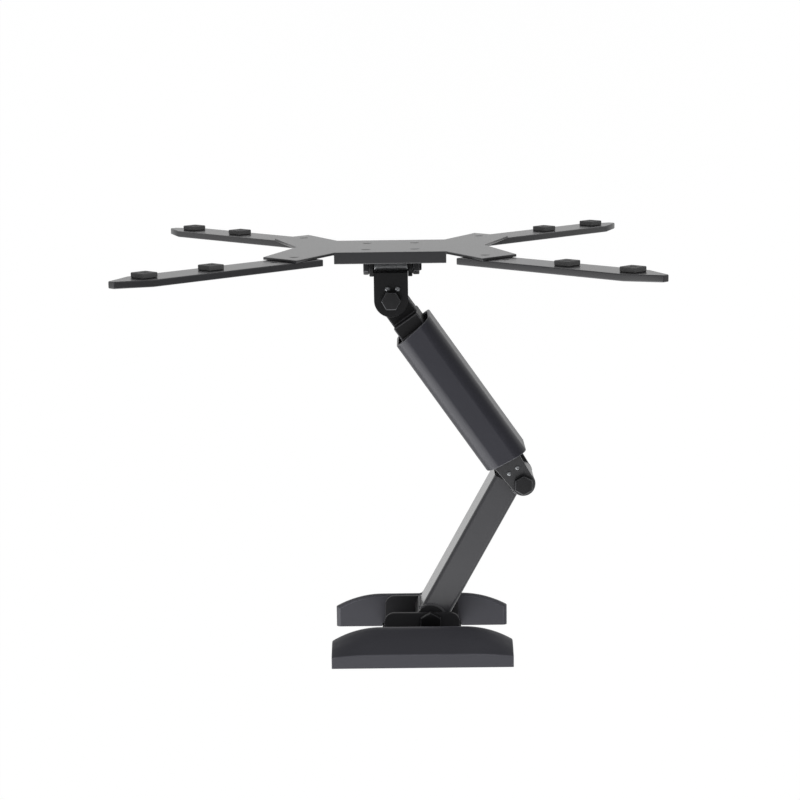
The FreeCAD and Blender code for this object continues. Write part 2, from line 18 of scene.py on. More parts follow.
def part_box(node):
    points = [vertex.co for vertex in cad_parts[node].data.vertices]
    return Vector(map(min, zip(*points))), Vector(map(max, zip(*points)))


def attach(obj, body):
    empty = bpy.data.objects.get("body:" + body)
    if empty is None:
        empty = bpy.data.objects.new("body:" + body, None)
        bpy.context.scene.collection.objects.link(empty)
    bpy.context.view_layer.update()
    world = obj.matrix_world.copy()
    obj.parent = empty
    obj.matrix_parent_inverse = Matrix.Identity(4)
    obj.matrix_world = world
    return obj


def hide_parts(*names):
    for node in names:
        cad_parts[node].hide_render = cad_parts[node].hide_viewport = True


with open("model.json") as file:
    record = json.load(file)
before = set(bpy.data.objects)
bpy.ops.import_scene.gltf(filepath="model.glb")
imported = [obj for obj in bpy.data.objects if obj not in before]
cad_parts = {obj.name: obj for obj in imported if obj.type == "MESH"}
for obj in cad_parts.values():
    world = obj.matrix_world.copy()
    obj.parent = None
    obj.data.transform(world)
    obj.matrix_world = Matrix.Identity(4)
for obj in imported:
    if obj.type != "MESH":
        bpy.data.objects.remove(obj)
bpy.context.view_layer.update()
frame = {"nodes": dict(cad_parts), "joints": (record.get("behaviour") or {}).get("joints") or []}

MM = 0.001
LOG = logging.getLogger("wall_mount")
WHITE = "#ffffff"

# Meshes: the gap in millimetres that merging closes, angles in degrees, and steps round or across a form
MERGE_GAP = 0.002
FLAT_ANGLE = 0.3
SHARP_ANGLE = 35.0
SMOOTH_ANGLE = 40.0
TURN_STEPS = 48
SMALL_TURN_STEPS = 28
DOME_STEPS = 6
ROUND_STEPS = 3
CHAMFER_STEPS = 2
HEX_SIDES = 6
BEAD_SIDES = 8
# A weld bead thins to this share of its radius at both ends
BEAD_END = 0.45
# Button head with a driving recess: shares of its diameter and height, from the recess to the underside
BUTTON_HEAD = ((0.0, 0.45), (0.42, 0.45), (0.46, 1.0), (0.66, 0.96), (0.86, 0.74), (0.98, 0.36),
               (1.0, 0.0), (0.0, 0.0))

# Noise of the finishes: its detail, the range that holds most of its values, the strength of its relief
FINE_DETAIL = 3.0
FINE_ROUGHNESS = 0.6
PATCH_DETAIL = 4.0
NOISE_RANGE = (0.3, 0.7)
RELIEF_STRENGTH = 0.6
# The colour sockets of a Mix node
MIX_A = 6
MIX_B = 7
MIX_RESULT = 2


def linear(code: str) -> tuple[float, float, float, float]:
    """Turn an sRGB hex colour into linear light.

    Args:
        code: six hex digits after a hash.

    Returns:
        Red, green, blue and an alpha of one.
    """
    channels = [int(code[i:i + 2], 16) / 255 for i in (1, 3, 5)]
    light = [c / 12.92 if c <= 0.04045 else ((c + 0.055) / 1.055) ** 2.4 for c in channels]
    return (light[0], light[1], light[2], 1.0)


def add_node(tree: bpy.types.NodeTree, kind: str, settings: dict, links: dict) -> bpy.types.Node:
    """Add a node with its settings and its incoming links.

    Args:
        tree: the node tree.
        kind: the node's type name.
        settings: values by socket (name or number) or by property name.
        links: source sockets by the input (name or number) that they feed.

    Returns:
        The new node.
    """
    node = tree.nodes.new(kind)
    for key, value in settings.items():
        if isinstance(key, int) or key in node.inputs:
            node.inputs[key].default_value = value
        else:
            setattr(node, key, value)
    for key, source in links.items():
        tree.links.new(source, node.inputs[key])
    return node


class Grain(Enum):
    """How a surface was made; the value stretches its relief along X, Y and Z."""

    PEEL = (1.0, 1.0, 1.0)
    DRAWN = (0.04, 1.0, 1.0)
    TURNED = (0.05, 0.05, 1.0)
    TURNED_ACROSS = (1.0, 0.05, 0.05)


@dataclass(frozen=True)
class Finish:
    """A material of the mount: what it is made of and how its surface was made.

    Its grain, relief and patches are real sizes in millimetres, and its turn is in degrees about Z.
    Its wear_and_highlight colour, if any, lies on its rounded edges: partly wear, partly a painted
    highlight.
    """

    name: str
    colour: str
    patch: str
    roughness: float
    spread: float
    grain_mm: float
    relief_mm: float
    patch_mm: float = 40.0
    metallic: float = 0.0
    specular: float = 0.5
    grain: Grain = Grain.PEEL
    turn: float = 0.0
    wear_and_highlight: str = ""

    def edge(self) -> "Finish":
        """The same finish on a rounded edge, lighter: partly wear, partly a painted highlight."""
        return replace(self, name=f"{self.name}_edge", colour=self.wear_and_highlight, patch=self.colour)

    def material(self) -> bpy.types.Material:
        """Make the node material, or find it where it was made before.

        Returns:
            The material.
        """
        label = f"{self.name}_{self.turn:g}" if self.turn else self.name
        known = bpy.data.materials.get(label)
        if known:
            return known
        made = bpy.data.materials.new(label)
        made.use_nodes = True
        tree = made.node_tree
        tree.nodes.clear()
        place = add_node(tree, "ShaderNodeTexCoord", {}, {})
        lay = add_node(tree, "ShaderNodeMapping",
                       {"vector_type": "TEXTURE", "Rotation": (0, 0, math.radians(self.turn)),
                        "Scale": tuple(1 / s for s in self.grain.value)},
                       {"Vector": place.outputs["Object"]})
        fine = add_node(tree, "ShaderNodeTexNoise",
                        {"Scale": 1 / (self.grain_mm * MM), "Detail": FINE_DETAIL,
                         "Roughness": FINE_ROUGHNESS},
                        {"Vector": lay.outputs["Vector"]})
        broad = add_node(tree, "ShaderNodeTexNoise",
                         {"Scale": 1 / (self.patch_mm * MM), "Detail": PATCH_DETAIL},
                         {"Vector": place.outputs["Object"]})
        colour = add_node(tree, "ShaderNodeMix",
                          {"data_type": "RGBA", MIX_A: linear(self.colour), MIX_B: linear(self.patch)},
                          {0: broad.outputs["Fac"]})
        gloss = add_node(tree, "ShaderNodeMapRange",
                         {"From Min": NOISE_RANGE[0], "From Max": NOISE_RANGE[1],
                          "To Min": self.roughness - self.spread,
                          "To Max": self.roughness + self.spread},
                         {"Value": fine.outputs["Fac"]})
        relief = add_node(tree, "ShaderNodeBump",
                          {"Strength": RELIEF_STRENGTH, "Distance": self.relief_mm * MM},
                          {"Height": fine.outputs["Fac"]})
        surface = add_node(tree, "ShaderNodeBsdfPrincipled",
                           {"Metallic": self.metallic, "Specular IOR Level": self.specular},
                           {"Base Color": colour.outputs[MIX_RESULT],
                            "Roughness": gloss.outputs["Result"],
                            "Normal": relief.outputs["Normal"]})
        add_node(tree, "ShaderNodeOutputMaterial", {}, {"Surface": surface.outputs["BSDF"]})
        return made


# Black satin powder coat on pressed steel, with a faint orange peel: dark when seen square on,
# bright along a glancing view. Its rounded edges are lighter: partly wear, partly a painted highlight
POWDER_COAT = Finish("powder_coated_steel", "#2d2d2f", "#29292b", 0.31, 0.03, 1.4, 0.006,
                     wear_and_highlight="#3c3c3f")
# Graphite satin coat on the welded arm: a lighter grey and a tighter gloss
GRAPHITE_COAT = Finish("graphite_coated_tube", "#434346", "#3f3f42", 0.2, 0.03, 1.4, 0.006,
                       specular=0.65)
# The black coat on cast and forged pieces: flatter and blacker, with a coarser skin
CAST_COAT = Finish("powder_coated_casting", "#1c1c1d", "#171718", 0.5, 0.06, 1.8, 0.03, specular=0.12)
# The cast link under the same coat: its rounded shoulders lighter grey, partly wear and partly a painted
# highlight
LINK_COAT = replace(CAST_COAT, name="coated_link", wear_and_highlight="#5e5e61")
# Moulded ABS from a spark-eroded tool: an even grain, slightly blue. The real grain is about 0.2 mm and
# is drawn coarser, so that it shows. Its rounded edges and crest are lighter: a painted highlight
COVER_PLASTIC = Finish("moulded_abs", "#35353b", "#313137", 0.44, 0.04, 1.0, 0.018, specular=0.4,
                       wear_and_highlight="#56565c")
# Extruded aluminium under charcoal satin paint: faint lines along its length, drawn coarser than the
# real ones, so that they show. Its rounded end rims are lighter: partly worn paint, partly a painted
# highlight
SHELL_PAINT = Finish("painted_extruded_aluminium", "#28282f", "#24242b", 0.42, 0.05, 1.5, 0.012,
                     specular=0.4, grain=Grain.DRAWN, wear_and_highlight="#6a6a6f")
# Blackened steel bolts: dark oxide with a dull metallic shine; the hexagons' edges lighter,
# partly wear and partly a painted highlight
BLACK_OXIDE = Finish("black_oxide_steel", "#202022", "#19191a", 0.42, 0.08, 0.9, 0.01,
                     patch_mm=8.0, metallic=0.6, wear_and_highlight="#4a4a4d")
# Bright zinc plate: pale grey metal with turning marks, drawn coarser than the real ones
ZINC_PLATE = Finish("zinc_plated_steel", "#d0d2d4", "#b6b8bb", 0.32, 0.06, 0.6, 0.006,
                    patch_mm=10.0, metallic=0.75, grain=Grain.TURNED_ACROSS)
# Small zinc-plated screws: duller, their plate gone grey with handling
ZINC_SCREW = replace(ZINC_PLATE, name="dulled_zinc_screw", colour="#86888a", patch="#747679",
                     roughness=0.4, grain=Grain.PEEL)
# Nylon washers: dull black with a slight waxy gloss
NYLON = Finish("black_nylon", "#1d1d1f", "#222224", 0.5, 0.05, 0.8, 0.01, specular=0.3)
# Rubber pads: matt and a little dusty
RUBBER = Finish("matt_rubber", "#5e5e5f", "#646464", 0.7, 0.05, 0.7, 0.02, specular=0.3)
# Weld metal under either coat: the coat's colour, rougher along the ripples
WELD = replace(GRAPHITE_COAT, name="coated_weld", roughness=0.4, relief_mm=0.05)
DARK_WELD = replace(POWDER_COAT, name="coated_bracket_weld", roughness=0.4, relief_mm=0.05)
# The black coat on the hinge bracket: scuffed flat where the arm swings over it
BRACKET_COAT = replace(POWDER_COAT, name="coated_bracket", colour="#2e2e30", patch="#29292b",
                       roughness=0.52, specular=0.2, wear_and_highlight="")
# The black coat over turned barrels: fine rings show through it
BARREL_COAT = replace(POWDER_COAT, name="coated_barrel", roughness=0.34, grain=Grain.TURNED)


def hinge(name: str) -> Vector:
    """Find where a joint's axis crosses the middle height, in metres."""
    return Vector(next(j["pos_m"] for j in frame["joints"] if j["name"] == name))


def turned(point: Vector, degrees: float) -> Matrix:
    """Matrix of an arm drawn along +X, turned about Z and carried to its hinge."""
    return Matrix.Translation(point) @ Matrix.Rotation(math.radians(degrees), 4, "Z")


def facing(point: Vector, direction: Vector) -> Matrix:
    """Frame at a point in millimetres whose Z looks along a direction."""
    return Matrix.Translation(point * MM) @ direction.to_track_quat("Z", "Y").to_matrix().to_4x4()


def is_sharp(edge: bmesh.types.BMEdge, degrees: float = SHARP_ANGLE) -> bool:
    """Tell whether the two faces of an edge meet at more than an angle."""
    return len(edge.link_faces) == 2 and edge.calc_face_angle(0.0) > math.radians(degrees)


def solid_copy(node: str) -> bmesh.types.BMesh:
    """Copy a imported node, its triangles merged and its flat faces made whole.

    Args:
        node: the node's name.

    Returns:
        The mesh, in the row frame.
    """
    bm = bmesh.new()
    bm.from_mesh(frame["nodes"][node].data)
    bmesh.ops.remove_doubles(bm, verts=bm.verts, dist=MERGE_GAP * MM)
    bmesh.ops.dissolve_limit(bm, angle_limit=math.radians(FLAT_ANGLE), use_dissolve_boundaries=False,
                             verts=bm.verts, edges=bm.edges, delimit=set())
    return bm


def bevel(bm: bmesh.types.BMesh, edges: Sequence[bmesh.types.BMEdge], width: float, segments: int,
          held: bool = True) -> None:
    """Bevel edges; the new faces take the second material, a lighter edge of wear and painted highlight.

    Args:
        bm: the mesh.
        edges: its edges that are bevelled.
        width: how far the bevel reaches from an edge, in millimetres.
        segments: steps across the bevel.
        held: whether the shortest edge holds all of them back.
    """
    made = bmesh.ops.bevel(bm, geom=edges, offset=width * MM, offset_type="OFFSET", affect="EDGES",
                           segments=segments, profile=0.5, material=-1, clamp_overlap=held)
    # The bevel's faces take the lighter edge colour: partly wear, partly a painted highlight.
    for face in made["faces"]:
        face.material_index = 1


def round_edges(bm: bmesh.types.BMesh, width: float, segments: int,
                chosen: Callable[[bmesh.types.BMEdge], bool] = is_sharp, held: bool = True) -> None:
    """Round the chosen edges of a mesh.

    Args:
        bm: the mesh.
        width: how far the rounding reaches from an edge, in millimetres.
        segments: steps across the rounding.
        chosen: tells which edges are rounded.
        held: whether the shortest edge holds all of them back.
    """
    bevel(bm, [edge for edge in bm.edges if chosen(edge)], width, segments, held)


def add_turned(bm: bmesh.types.BMesh, profile: Sequence[tuple[float, float]], place: Matrix,
               steps: int = TURN_STEPS, closed: bool = False) -> None:
    """Spin a profile about the local Z into a turned piece.

    Args:
        bm: the mesh that takes it.
        profile: diameters and heights along it, in millimetres.
        place: the local frame.
        steps: steps of the full turn.
        closed: whether the profile runs back to its first point, as a ring's does.
    """
    before = set(bm.faces)
    verts = [bm.verts.new(place @ Vector((width / 2 * MM, 0, height * MM)))
             for width, height in profile]
    follow = verts[1:] + verts[:1] if closed else verts[1:]
    edges = [bm.edges.new(pair) for pair in zip(verts, follow)]
    bmesh.ops.spin(bm, geom=verts + edges, cent=place.translation,
                   axis=place.to_3x3() @ Vector((0, 0, 1)), angle=math.tau, steps=steps,
                   use_merge=True, use_duplicate=False)
    made = [face for face in bm.faces if face not in before]
    corners = list(dict.fromkeys(vert for face in made for vert in face.verts))
    bmesh.ops.remove_doubles(bm, verts=corners, dist=MERGE_GAP * MM)


def add_ring(bm: bmesh.types.BMesh, outer: float, inner: float, low: float, high: float,
             place: Matrix, chamfer: float) -> None:
    """Add a ring about the local Z with its outer corners taken off.

    Args:
        bm: the mesh that takes it.
        outer: its outer diameter, in millimetres.
        inner: its bore, in millimetres.
        low: its lower face along Z, in millimetres.
        high: its upper face along Z, in millimetres.
        place: the local frame.
        chamfer: how far the outer corners are taken off, in millimetres.
    """
    edge = outer - 2 * chamfer
    profile = [(inner, low), (edge, low), (outer, low + chamfer),
               (outer, high - chamfer), (edge, high), (inner, high)]
    add_turned(bm, profile, place, closed=True)


def add_dome(bm: bmesh.types.BMesh, diameter: float, height: float, place: Matrix) -> None:
    """Add a low round head that stands on the local XY plane.

    Args:
        bm: the mesh that takes it.
        diameter: its width, in millimetres.
        height: its height, in millimetres.
        place: the local frame.
    """
    turns = [math.pi / 2 * step / DOME_STEPS for step in range(DOME_STEPS + 1)]
    curve = [(diameter * math.cos(turn), height * math.sin(turn)) for turn in turns]
    add_turned(bm, [(0.0, 0.0)] + curve, place, SMALL_TURN_STEPS)


def add_socket_screw(bm: bmesh.types.BMesh, diameter: float, height: float, place: Matrix) -> None:
    """Add a button head with a driving recess, standing on the local XY plane.

    Args:
        bm: the mesh that takes it.
        diameter: the head's width, in millimetres.
        height: the head's height, in millimetres.
        place: the local frame.
    """
    profile = [(diameter * across, height * up) for across, up in BUTTON_HEAD]
    add_turned(bm, profile, place, SMALL_TURN_STEPS)


def add_hexagon(bm: bmesh.types.BMesh, across: float, low: float, high: float, place: Matrix,
                chamfer: float) -> None:
    """Add a hexagon head with its outer corners taken off.

    Args:
        bm: the mesh that takes it.
        across: width across the flats, in millimetres.
        low: its lower face along Z, in millimetres.
        high: its upper face along Z, in millimetres.
        place: the local frame.
        chamfer: how far the corners are taken down, in millimetres.
    """
    middle = place @ Matrix.Translation((0, 0, (low + high) / 2 * MM))
    radius = across / math.sqrt(3) * MM
    made = bmesh.ops.create_cone(bm, cap_ends=True, segments=HEX_SIDES, radius1=radius,
                                 radius2=radius, depth=(high - low) * MM, matrix=middle)
    edges = list(dict.fromkeys(edge for vert in made["verts"] for edge in vert.link_edges))
    bevel(bm, edges, chamfer, CHAMFER_STEPS)


def rim(ring: Sequence[bmesh.types.BMVert]) -> list[bmesh.types.BMEdge]:
    """List the edges that run round a ring of points, each once."""
    return list(dict.fromkeys(edge for vert in ring for edge in vert.link_edges
                              if all(end in ring for end in edge.verts)))


def add_bead(bm: bmesh.types.BMesh, points: Sequence[Vector], radius: float,
             ripple: float = 0.16) -> None:
    """Add a weld bead along a line of points, swelling and thinning as it was laid.

    Args:
        bm: the mesh that takes it.
        points: the line, in metres.
        radius: half of its width, in millimetres.
        ripple: how much of the radius the ripples take.
    """
    ring = None
    for number, point in enumerate(points):
        before = points[max(number - 1, 0)]
        after = points[min(number + 1, len(points) - 1)]
        way = (after - before).to_track_quat("Z", "Y").to_matrix().to_4x4()
        ends = number in (0, len(points) - 1)
        swell = BEAD_END if ends else 1 + ripple * (1 if number % 2 else -1)
        goal = Matrix.Translation(point) @ way @ Matrix.Scale(radius * MM * swell, 4)
        if ring is None:
            ring = bmesh.ops.create_circle(bm, cap_ends=True, segments=BEAD_SIDES, radius=1.0,
                                           matrix=goal)["verts"]
            spot = goal
            continue
        step = bmesh.ops.extrude_edge_only(bm, edges=rim(ring))
        ring = [item for item in step["geom"] if isinstance(item, bmesh.types.BMVert)]
        bmesh.ops.transform(bm, matrix=goal @ spot.inverted(), verts=ring)
        spot = goal
    bmesh.ops.contextual_create(bm, geom=rim(ring))


def arc(centre: Vector, radius: float, start: float, end: float, steps: int) -> list[Vector]:
    """Points on a level arc.

    Args:
        centre: its middle, in metres.
        radius: its radius, in millimetres.
        start: first angle about Z, in degrees.
        end: last angle about Z, in degrees.
        steps: number of points, less one.

    Returns:
        The points, in metres.
    """
    angles = [math.radians(start + (end - start) * i / steps) for i in range(steps + 1)]
    return [centre + Vector((math.cos(a), math.sin(a), 0)) * radius * MM for a in angles]


def upright(x: float, y: float, reach: float, steps: int) -> list[Vector]:
    """Points on an upright line about the middle height, given in millimetres."""
    return [Vector((x, y, reach * (2 * i / steps - 1))) * MM for i in range(steps + 1)]


@dataclass(frozen=True)
class HexBolt:
    """A hexagon bolt with its nut, along the local Z of a hinge; its sizes are in millimetres.

    The head and the nut lie on faces at equal heights above and below the hinge's middle, and the
    thread's end stands out of the nut. Each cut is what the thread takes off the diameter.
    """

    across: float
    diameter: float
    face: float
    head: float = 6.5
    nut: float = 8.0
    tail: float = 2.0
    flange: float = 0.5
    flange_share: float = 0.97
    chamfer: float = 0.9
    pitch: float = 0.8
    point_cut: float = 2.4
    lead_cut: float = 0.4
    root_cut: float = 1.2
    crest_cut: float = 0.1

    def shank(self) -> list[tuple[float, float]]:
        """Draw the shank, with the thread's turns where they stand out of the nut.

        Returns:
            Diameters and heights along it.
        """
        end = -self.face - self.nut - self.tail
        crest = self.diameter - self.crest_cut
        profile = [(0.0, end), (self.diameter - self.point_cut, end),
                   (self.diameter - self.lead_cut, end + self.pitch)]
        for turn in range(1, int(self.tail / self.pitch) + 1):
            profile.append((self.diameter - self.root_cut, end + self.pitch * (turn + 0.5)))
            profile.append((crest, end + self.pitch * (turn + 1)))
        return profile + [(crest, self.face), (0.0, self.face)]

    def add_to(self, bm: bmesh.types.BMesh, place: Matrix) -> None:
        """Add the bolt and its nut to a mesh.

        Args:
            bm: the mesh that takes it.
            place: the hinge's frame.
        """
        add_turned(bm, self.shank(), place)
        wide = self.across * self.flange_share
        for low in (self.face, -self.face - self.flange):
            high = low + self.flange
            add_turned(bm, [(0.0, low), (wide, low), (wide, high), (0.0, high)], place)
        add_hexagon(bm, self.across, self.face + self.flange, self.face + self.head, place,
                    self.chamfer)
        add_hexagon(bm, self.across, -self.face - self.nut, -self.face - self.flange, place,
                    self.chamfer)


@dataclass
class Assembly:
    """Pieces of the mount that ride on one body."""

    body: str

    def keep(self, name: str, bm: bmesh.types.BMesh, finish: Finish, slot: str,
             stands_for: Iterable[str] = ()) -> None:
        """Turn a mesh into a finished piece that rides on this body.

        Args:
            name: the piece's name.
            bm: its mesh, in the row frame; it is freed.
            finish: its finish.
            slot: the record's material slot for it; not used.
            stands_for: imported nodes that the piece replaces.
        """
        bmesh.ops.recalc_face_normals(bm, faces=bm.faces)
        mesh = bpy.data.meshes.new(name)
        bm.to_mesh(mesh)
        bm.free()
        mesh.shade_smooth()
        mesh.set_sharp_from_angle(angle=math.radians(SMOOTH_ANGLE))
        mesh.materials.append(finish.material())
        # Rounded edges get a lighter copy of the finish: partly wear, partly a painted highlight.
        if finish.wear_and_highlight:
            mesh.materials.append(finish.edge().material())
        piece = bpy.data.objects.new(name, mesh)
        bpy.context.scene.collection.objects.link(piece)
        weight = piece.modifiers.new("even_shading", "WEIGHTED_NORMAL")
        weight.keep_sharp = True
        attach(piece, self.body)
        if stands_for:
            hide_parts(*stands_for)
        LOG.info("%s: %d faces", name, len(mesh.polygons))

    def soften(self, node: str, width: float, finish: Finish, slot: str,
               segments: int = ROUND_STEPS) -> None:
        """Stand a copy of a node, with its edges rounded, in the node's place.

        Args:
            node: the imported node.
            width: how far the rounding reaches from an edge, in millimetres.
            finish: the piece's finish.
            slot: the record's material slot for it.
            segments: steps across the rounding.
        """
        bm = solid_copy(node)
        round_edges(bm, width, segments, held=False)
        self.keep(f"{node}_finished", bm, finish, slot, (node,))

    def fasten(self, name: str, place: Matrix, bolt: HexBolt, node: str) -> None:
        """Set a hexagon bolt with its nut in a hinge.

        Args:
            name: the piece's name.
            place: the hinge's frame.
            bolt: the bolt.
            node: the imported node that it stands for.
        """
        bm = bmesh.new()
        bolt.add_to(bm, place)
        self.keep(name, bm, BLACK_OXIDE, "dark_bolt", (node,))


@dataclass
class WallFrame(Assembly):
    """Wall plate, its two covers and the bracket of the wall hinge."""

    body: str = "wall_frame"
    cover_round: float = 2.0
    cover_steps: int = 4
    crest_round: float = 4.0
    crest_steps: int = 6
    moulded_angle: float = 20.0
    skin: float = 0.5
    wall_clear: float = 4.0
    plate_round: float = 0.5
    plate_steps: int = 2
    plate_front: float = 2.5
    bracket_round: float = 0.7
    bracket_half: float = 35.0
    bead: float = 1.3
    bead_starts: tuple[float, ...] = (-44.0, 10.0)
    bead_length: float = 34.0
    bead_steps: int = 18
    bead_aside: float = 0.2
    bead_proud: float = 0.3
    pivot: HexBolt = HexBolt(across=19.0, diameter=12.0, face=31.0)

    def build(self) -> None:
        """Build and dress the pieces fixed to the wall."""
        for node in ("upper_cover", "lower_cover"):
            self.build_cover(node)
        self.soften("wall_plate", self.plate_round, POWDER_COAT, "black_steel", self.plate_steps)
        self.soften("hinge_bracket", self.bracket_round, BRACKET_COAT, "black_steel")
        self.build_welds()
        self.fasten("pivot_fastener", Matrix.Translation(hinge("wall_pivot")), self.pivot, "pivot_bolt")

    def build_cover(self, node: str) -> None:
        """Round the outer edges of a moulded cover, most of all along its crest.

        Args:
            node: the cover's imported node.
        """
        bm = solid_copy(node)
        low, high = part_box(node)
        margin = self.skin * MM
        sides = (low.x + margin, high.x - margin)
        ends = (low.z + margin, high.z - margin)
        inner = min(abs(low.z), abs(high.z))

        def outside(edge: bmesh.types.BMEdge) -> bool:
            """Tell whether an edge is on the cover's outer skin, clear of the wall.

            Args:
                edge: the edge.

            Returns:
                True where it is.
            """
            middle = (edge.verts[0].co + edge.verts[1].co) / 2
            shown = not sides[0] < middle.x < sides[1] or not ends[0] < middle.z < ends[1]
            return is_sharp(edge, self.moulded_angle) and shown and middle.y < -self.wall_clear * MM

        def crest(edge: bmesh.types.BMEdge) -> bool:
            """Tell whether an outside edge is the arch over the cover's inner end."""
            return outside(edge) and all(abs(abs(v.co.z) - inner) < margin for v in edge.verts)

        round_edges(bm, self.crest_round, self.crest_steps, crest)
        round_edges(bm, self.cover_round, self.cover_steps, outside)
        self.keep(f"{node}_finished", bm, COVER_PLASTIC, "cover_plastic", (node,))

    def build_welds(self) -> None:
        """Lay the beads that join the hinge bracket to the wall plate."""
        bm = bmesh.new()
        for side in (-1, 1):
            across = side * (self.bracket_half + self.bead_aside)
            out = -self.plate_front - self.bead_proud
            for start in self.bead_starts:
                line = [Vector((across, out, start + self.bead_length * i / self.bead_steps)) * MM
                        for i in range(self.bead_steps + 1)]
                add_bead(bm, line, self.bead)
        self.keep("bracket_welds", bm, DARK_WELD, "black_steel")


@dataclass
class LowerArm(Assembly):
    """Welded tube between the wall hinge and the elbow; angles are in degrees."""

    body: str = "lower_arm"
    angle: float = -119.0
    elbow_along: float = 155.5
    elbow_aside: float = -12.6
    tube_width: float = 27.0
    tube_height: float = 46.0
    plug_round: float = 0.5
    plug_steps: int = 2
    pivot_outer: float = 28.0
    pivot_bore: float = 12.1
    elbow_outer: float = 22.0
    elbow_bore: float = 10.1
    barrel_half: float = 26.0
    barrel_chamfer: float = 0.9
    washer: float = 0.8
    washer_proud: float = 0.6
    washer_chamfer: float = 0.2
    bead: float = 1.6
    bead_out: float = 0.4
    bead_steps: int = 26
    pivot_bead_short: float = 4.0
    elbow_bead: tuple[float, float] = (126.0, 182.0)
    elbow_bead_steps: int = 14
    seam_along: float = 4.4
    seam_short: float = 4.0

    def build(self) -> None:
        """Build and dress the lower arm."""
        self.keep("lower_arm_tube_finished", solid_copy("lower_arm_tube"), GRAPHITE_COAT, "black_steel",
                  ("lower_arm_tube",))
        self.soften("tube_plug", self.plug_round, COVER_PLASTIC, "cover_plastic", self.plug_steps)
        self.build_barrel("pivot", hinge("wall_pivot"), self.pivot_outer, self.pivot_bore)
        self.build_barrel("elbow", hinge("elbow"), self.elbow_outer, self.elbow_bore)
        self.build_welds()

    def build_barrel(self, name: str, point: Vector, outer: float, bore: float) -> None:
        """Turn a hinge barrel and lay a nylon washer on each of its ends.

        Args:
            name: the hinge's name.
            point: the hinge's middle, in metres.
            outer: the barrel's diameter, in millimetres.
            bore: its bore, in millimetres.
        """
        place = Matrix.Translation(point)
        half = self.barrel_half
        barrel = bmesh.new()
        add_ring(barrel, outer, bore, -half, half, place, self.barrel_chamfer)
        self.keep(f"{name}_barrel_finished", barrel, BARREL_COAT, "black_steel", (f"{name}_barrel",))
        washers = bmesh.new()
        edge = half + self.washer
        for low, high in ((half, edge), (-edge, -half)):
            add_ring(washers, outer + self.washer_proud, bore, low, high, place, self.washer_chamfer)
        self.keep(f"{name}_washers", washers, NYLON, "nylon")

    def build_welds(self) -> None:
        """Lay the beads that join the tube to its two barrels."""
        place = turned(hinge("wall_pivot"), self.angle)
        bm = bmesh.new()
        half = math.degrees(math.asin(self.tube_width / self.pivot_outer)) - self.pivot_bead_short
        lines = []
        for level in (-1, 1):
            height = level * self.tube_height / 2 * MM
            start = Vector((0, 0, height))
            lines.append(arc(start, self.pivot_outer / 2 + self.bead_out, -half, half, self.bead_steps))
            middle = Vector((self.elbow_along * MM, self.elbow_aside * MM, height))
            lines.append(arc(middle, self.elbow_outer / 2 + self.bead_out, *self.elbow_bead,
                             self.elbow_bead_steps))
            side = level * self.tube_width / 2
            lines.append(upright(self.seam_along, side, self.tube_height / 2 - self.seam_short,
                                 self.bead_steps))
        for line in lines:
            add_bead(bm, [place @ point for point in line], self.bead)
        self.keep("barrel_welds", bm, WELD, "black_steel")


@dataclass
class UpperArm(Assembly):
    """Shell and channel between the elbow and the swivel; its angle is in degrees."""

    body: str = "upper_arm"
    angle: float = -55.0
    shell_round: float = 0.8
    channel_round: float = 0.7
    link_round: float = 1.2
    elbow: HexBolt = HexBolt(across=16.0, diameter=10.0, face=30.0)
    tongue_width: float = 26.0
    tongue_half: float = 12.8
    tongue_bore: float = 10.1
    washer: float = 0.8
    washer_lift: float = 0.05
    washer_proud: float = 0.8
    washer_chamfer: float = 0.2
    screw_places: tuple[float, ...] = (58.0, 142.0)
    screw_width: float = 8.5
    screw_height: float = 2.4
    set_along: float = 16.0
    set_aside: float = 4.6
    set_width: float = 4.4
    set_height: float = 1.3

    def build(self) -> None:
        """Build and dress the upper arm."""
        self.soften("upper_arm_shell", self.shell_round, replace(SHELL_PAINT, turn=self.angle),
                    "shell_aluminium")
        self.soften("upper_arm_channel", self.channel_round, POWDER_COAT, "black_steel")
        self.soften("head_link", self.link_round, LINK_COAT, "black_steel")
        self.build_washers()
        self.build_screws()
        self.build_set_screws()
        self.fasten("elbow_fastener", Matrix.Translation(hinge("elbow")), self.elbow, "elbow_bolt")

    def build_washers(self) -> None:
        """Lay a nylon washer on each face of the tongue."""
        bm = bmesh.new()
        place = Matrix.Translation(hinge("head_swivel"))
        for level in (-1, 1):
            near = level * (self.tongue_half - self.washer)
            far = level * (self.tongue_half + self.washer_lift)
            add_ring(bm, self.tongue_width + self.washer_proud, self.tongue_bore, min(near, far),
                     max(near, far), place, self.washer_chamfer)
        self.keep("swivel_washers", bm, NYLON, "nylon")

    def build_screws(self) -> None:
        """Set the screws that hold the shell to the channel, on its underside."""
        bm = bmesh.new()
        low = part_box("upper_arm_shell")[0].z
        place = turned(hinge("elbow"), self.angle)
        for along in self.screw_places:
            spot = place @ Vector((along * MM, 0, low))
            add_socket_screw(bm, self.screw_width, self.screw_height,
                             facing(spot / MM, Vector((0, 0, -1))))
        self.keep("shell_screws", bm, BLACK_OXIDE, "dark_bolt")

    def build_set_screws(self) -> None:
        """Set the bright screws by the elbow, two on each ear of the channel."""
        bm = bmesh.new()
        place = turned(hinge("elbow"), self.angle)
        for level in (-1, 1):
            for side in (-1, 1):
                spot = place @ (Vector((self.set_along, side * self.set_aside,
                                        level * self.elbow.face)) * MM)
                add_socket_screw(bm, self.set_width, self.set_height,
                                 facing(spot / MM, Vector((0, 0, level))))
        self.keep("elbow_set_screws", bm, ZINC_SCREW, "zinc")


